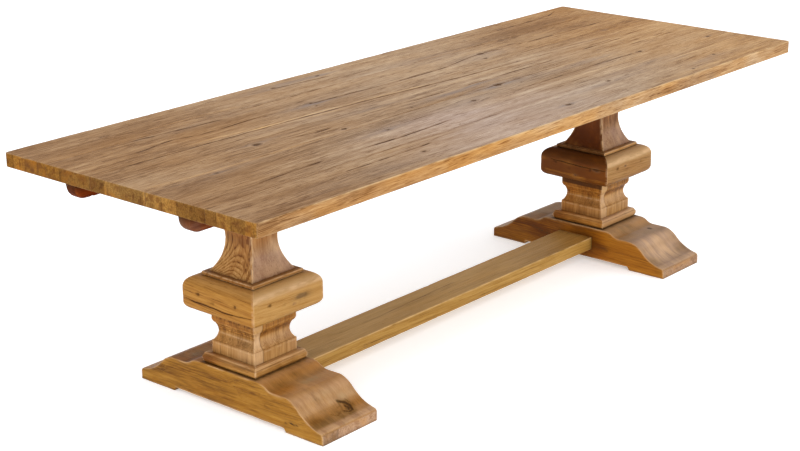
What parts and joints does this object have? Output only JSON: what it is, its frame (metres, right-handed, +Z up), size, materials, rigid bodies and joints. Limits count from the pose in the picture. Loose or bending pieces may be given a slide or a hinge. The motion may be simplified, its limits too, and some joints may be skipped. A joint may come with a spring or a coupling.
{
  "type": "trestle dining table",
  "caption": "Long plank-topped trestle dining table on square moulded pedestals with shaped sledge feet, a low stretcher and pull-out leaf runners under both ends.",
  "frame": {"origin": "on the floor under the middle of the table top", "axes": "+X along the length of the top, +Y towards the back edge, +Z up"},
  "size_m": [2.7, 0.99, 0.77],
  "materials": {
    "top_wood": "worn, lightly waxed hardwood with a dry matt face",
    "pedestal_wood": "waxed hardwood, worn at the arrises",
    "block_wood": "waxed golden hardwood",
    "bearer_wood": "unfinished sawn hardwood",
    "dark_wood": "dark red-brown stained hardwood",
    "peg_wood": "bare hardwood",
    "steel": "dull mild steel"
  },
  "bodies": {
    "frame": {"block_nails": "steel", "left_base_moulding_back": "pedestal_wood", "left_base_moulding_front": "pedestal_wood", "left_base_moulding_left": "pedestal_wood", "left_base_moulding_right": "pedestal_wood", "left_bearer": "bearer_wood", "left_block_core": "block_wood", "left_block_facing_back": "block_wood", "left_block_facing_front": "block_wood", "left_block_facing_left": "block_wood", "left_block_facing_right": "block_wood", "left_column_stave_left": "pedestal_wood", "left_column_stave_right": "pedestal_wood", "left_foot": "pedestal_wood", "left_lower_plate": "pedestal_wood", "left_neck": "pedestal_wood", "left_runner_keeper": "bearer_wood", "left_tie_rod": "steel", "left_upper_plate": "pedestal_wood", "locating_dowels": "peg_wood", "right_base_moulding_back": "pedestal_wood", "right_base_moulding_front": "pedestal_wood", "right_base_moulding_left": "pedestal_wood", "right_base_moulding_right": "pedestal_wood", "right_bearer": "bearer_wood", "right_block_core": "block_wood", "right_block_facing_back": "block_wood", "right_block_facing_front": "block_wood", "right_block_facing_left": "block_wood", "right_block_facing_right": "block_wood", "right_column_stave_left": "pedestal_wood", "right_column_stave_right": "pedestal_wood", "right_foot": "pedestal_wood", "right_lower_plate": "pedestal_wood", "right_neck": "pedestal_wood", "right_runner_keeper": "bearer_wood", "right_tie_rod": "steel", "right_upper_plate": "pedestal_wood", "runner_stop_blocks": "bearer_wood", "stretcher": "pedestal_wood", "stretcher_pegs": "peg_wood", "tie_nuts": "steel", "tie_washers": "steel", "top_plank_1": "top_wood", "top_plank_2": "top_wood", "top_plank_3": "top_wood", "top_plank_4": "top_wood", "top_plank_5": "top_wood", "top_screws": "steel"},
    "left_back_runner_body": {"left_back_runner": "dark_wood", "left_back_stop_peg": "peg_wood"},
    "left_front_runner_body": {"left_front_runner": "dark_wood", "left_front_stop_peg": "peg_wood"},
    "right_back_runner_body": {"right_back_runner": "dark_wood", "right_back_stop_peg": "peg_wood"},
    "right_front_runner_body": {"right_front_runner": "dark_wood", "right_front_stop_peg": "peg_wood"}
  },
  "joints": [
    {"name": "left_front_runner_slide", "type": "slide", "parent": "frame", "child": "left_front_runner_body", "axis": [-1, 0, 0], "range_m": [0, 0.5]},
    {"name": "left_back_runner_slide", "type": "slide", "parent": "frame", "child": "left_back_runner_body", "axis": [-1, 0, 0], "range_m": [0, 0.5]},
    {"name": "right_front_runner_slide", "type": "slide", "parent": "frame", "child": "right_front_runner_body", "axis": [1, 0, 0], "range_m": [0, 0.5]},
    {"name": "right_back_runner_slide", "type": "slide", "parent": "frame", "child": "right_back_runner_body", "axis": [1, 0, 0], "range_m": [0, 0.5]}
  ]
}
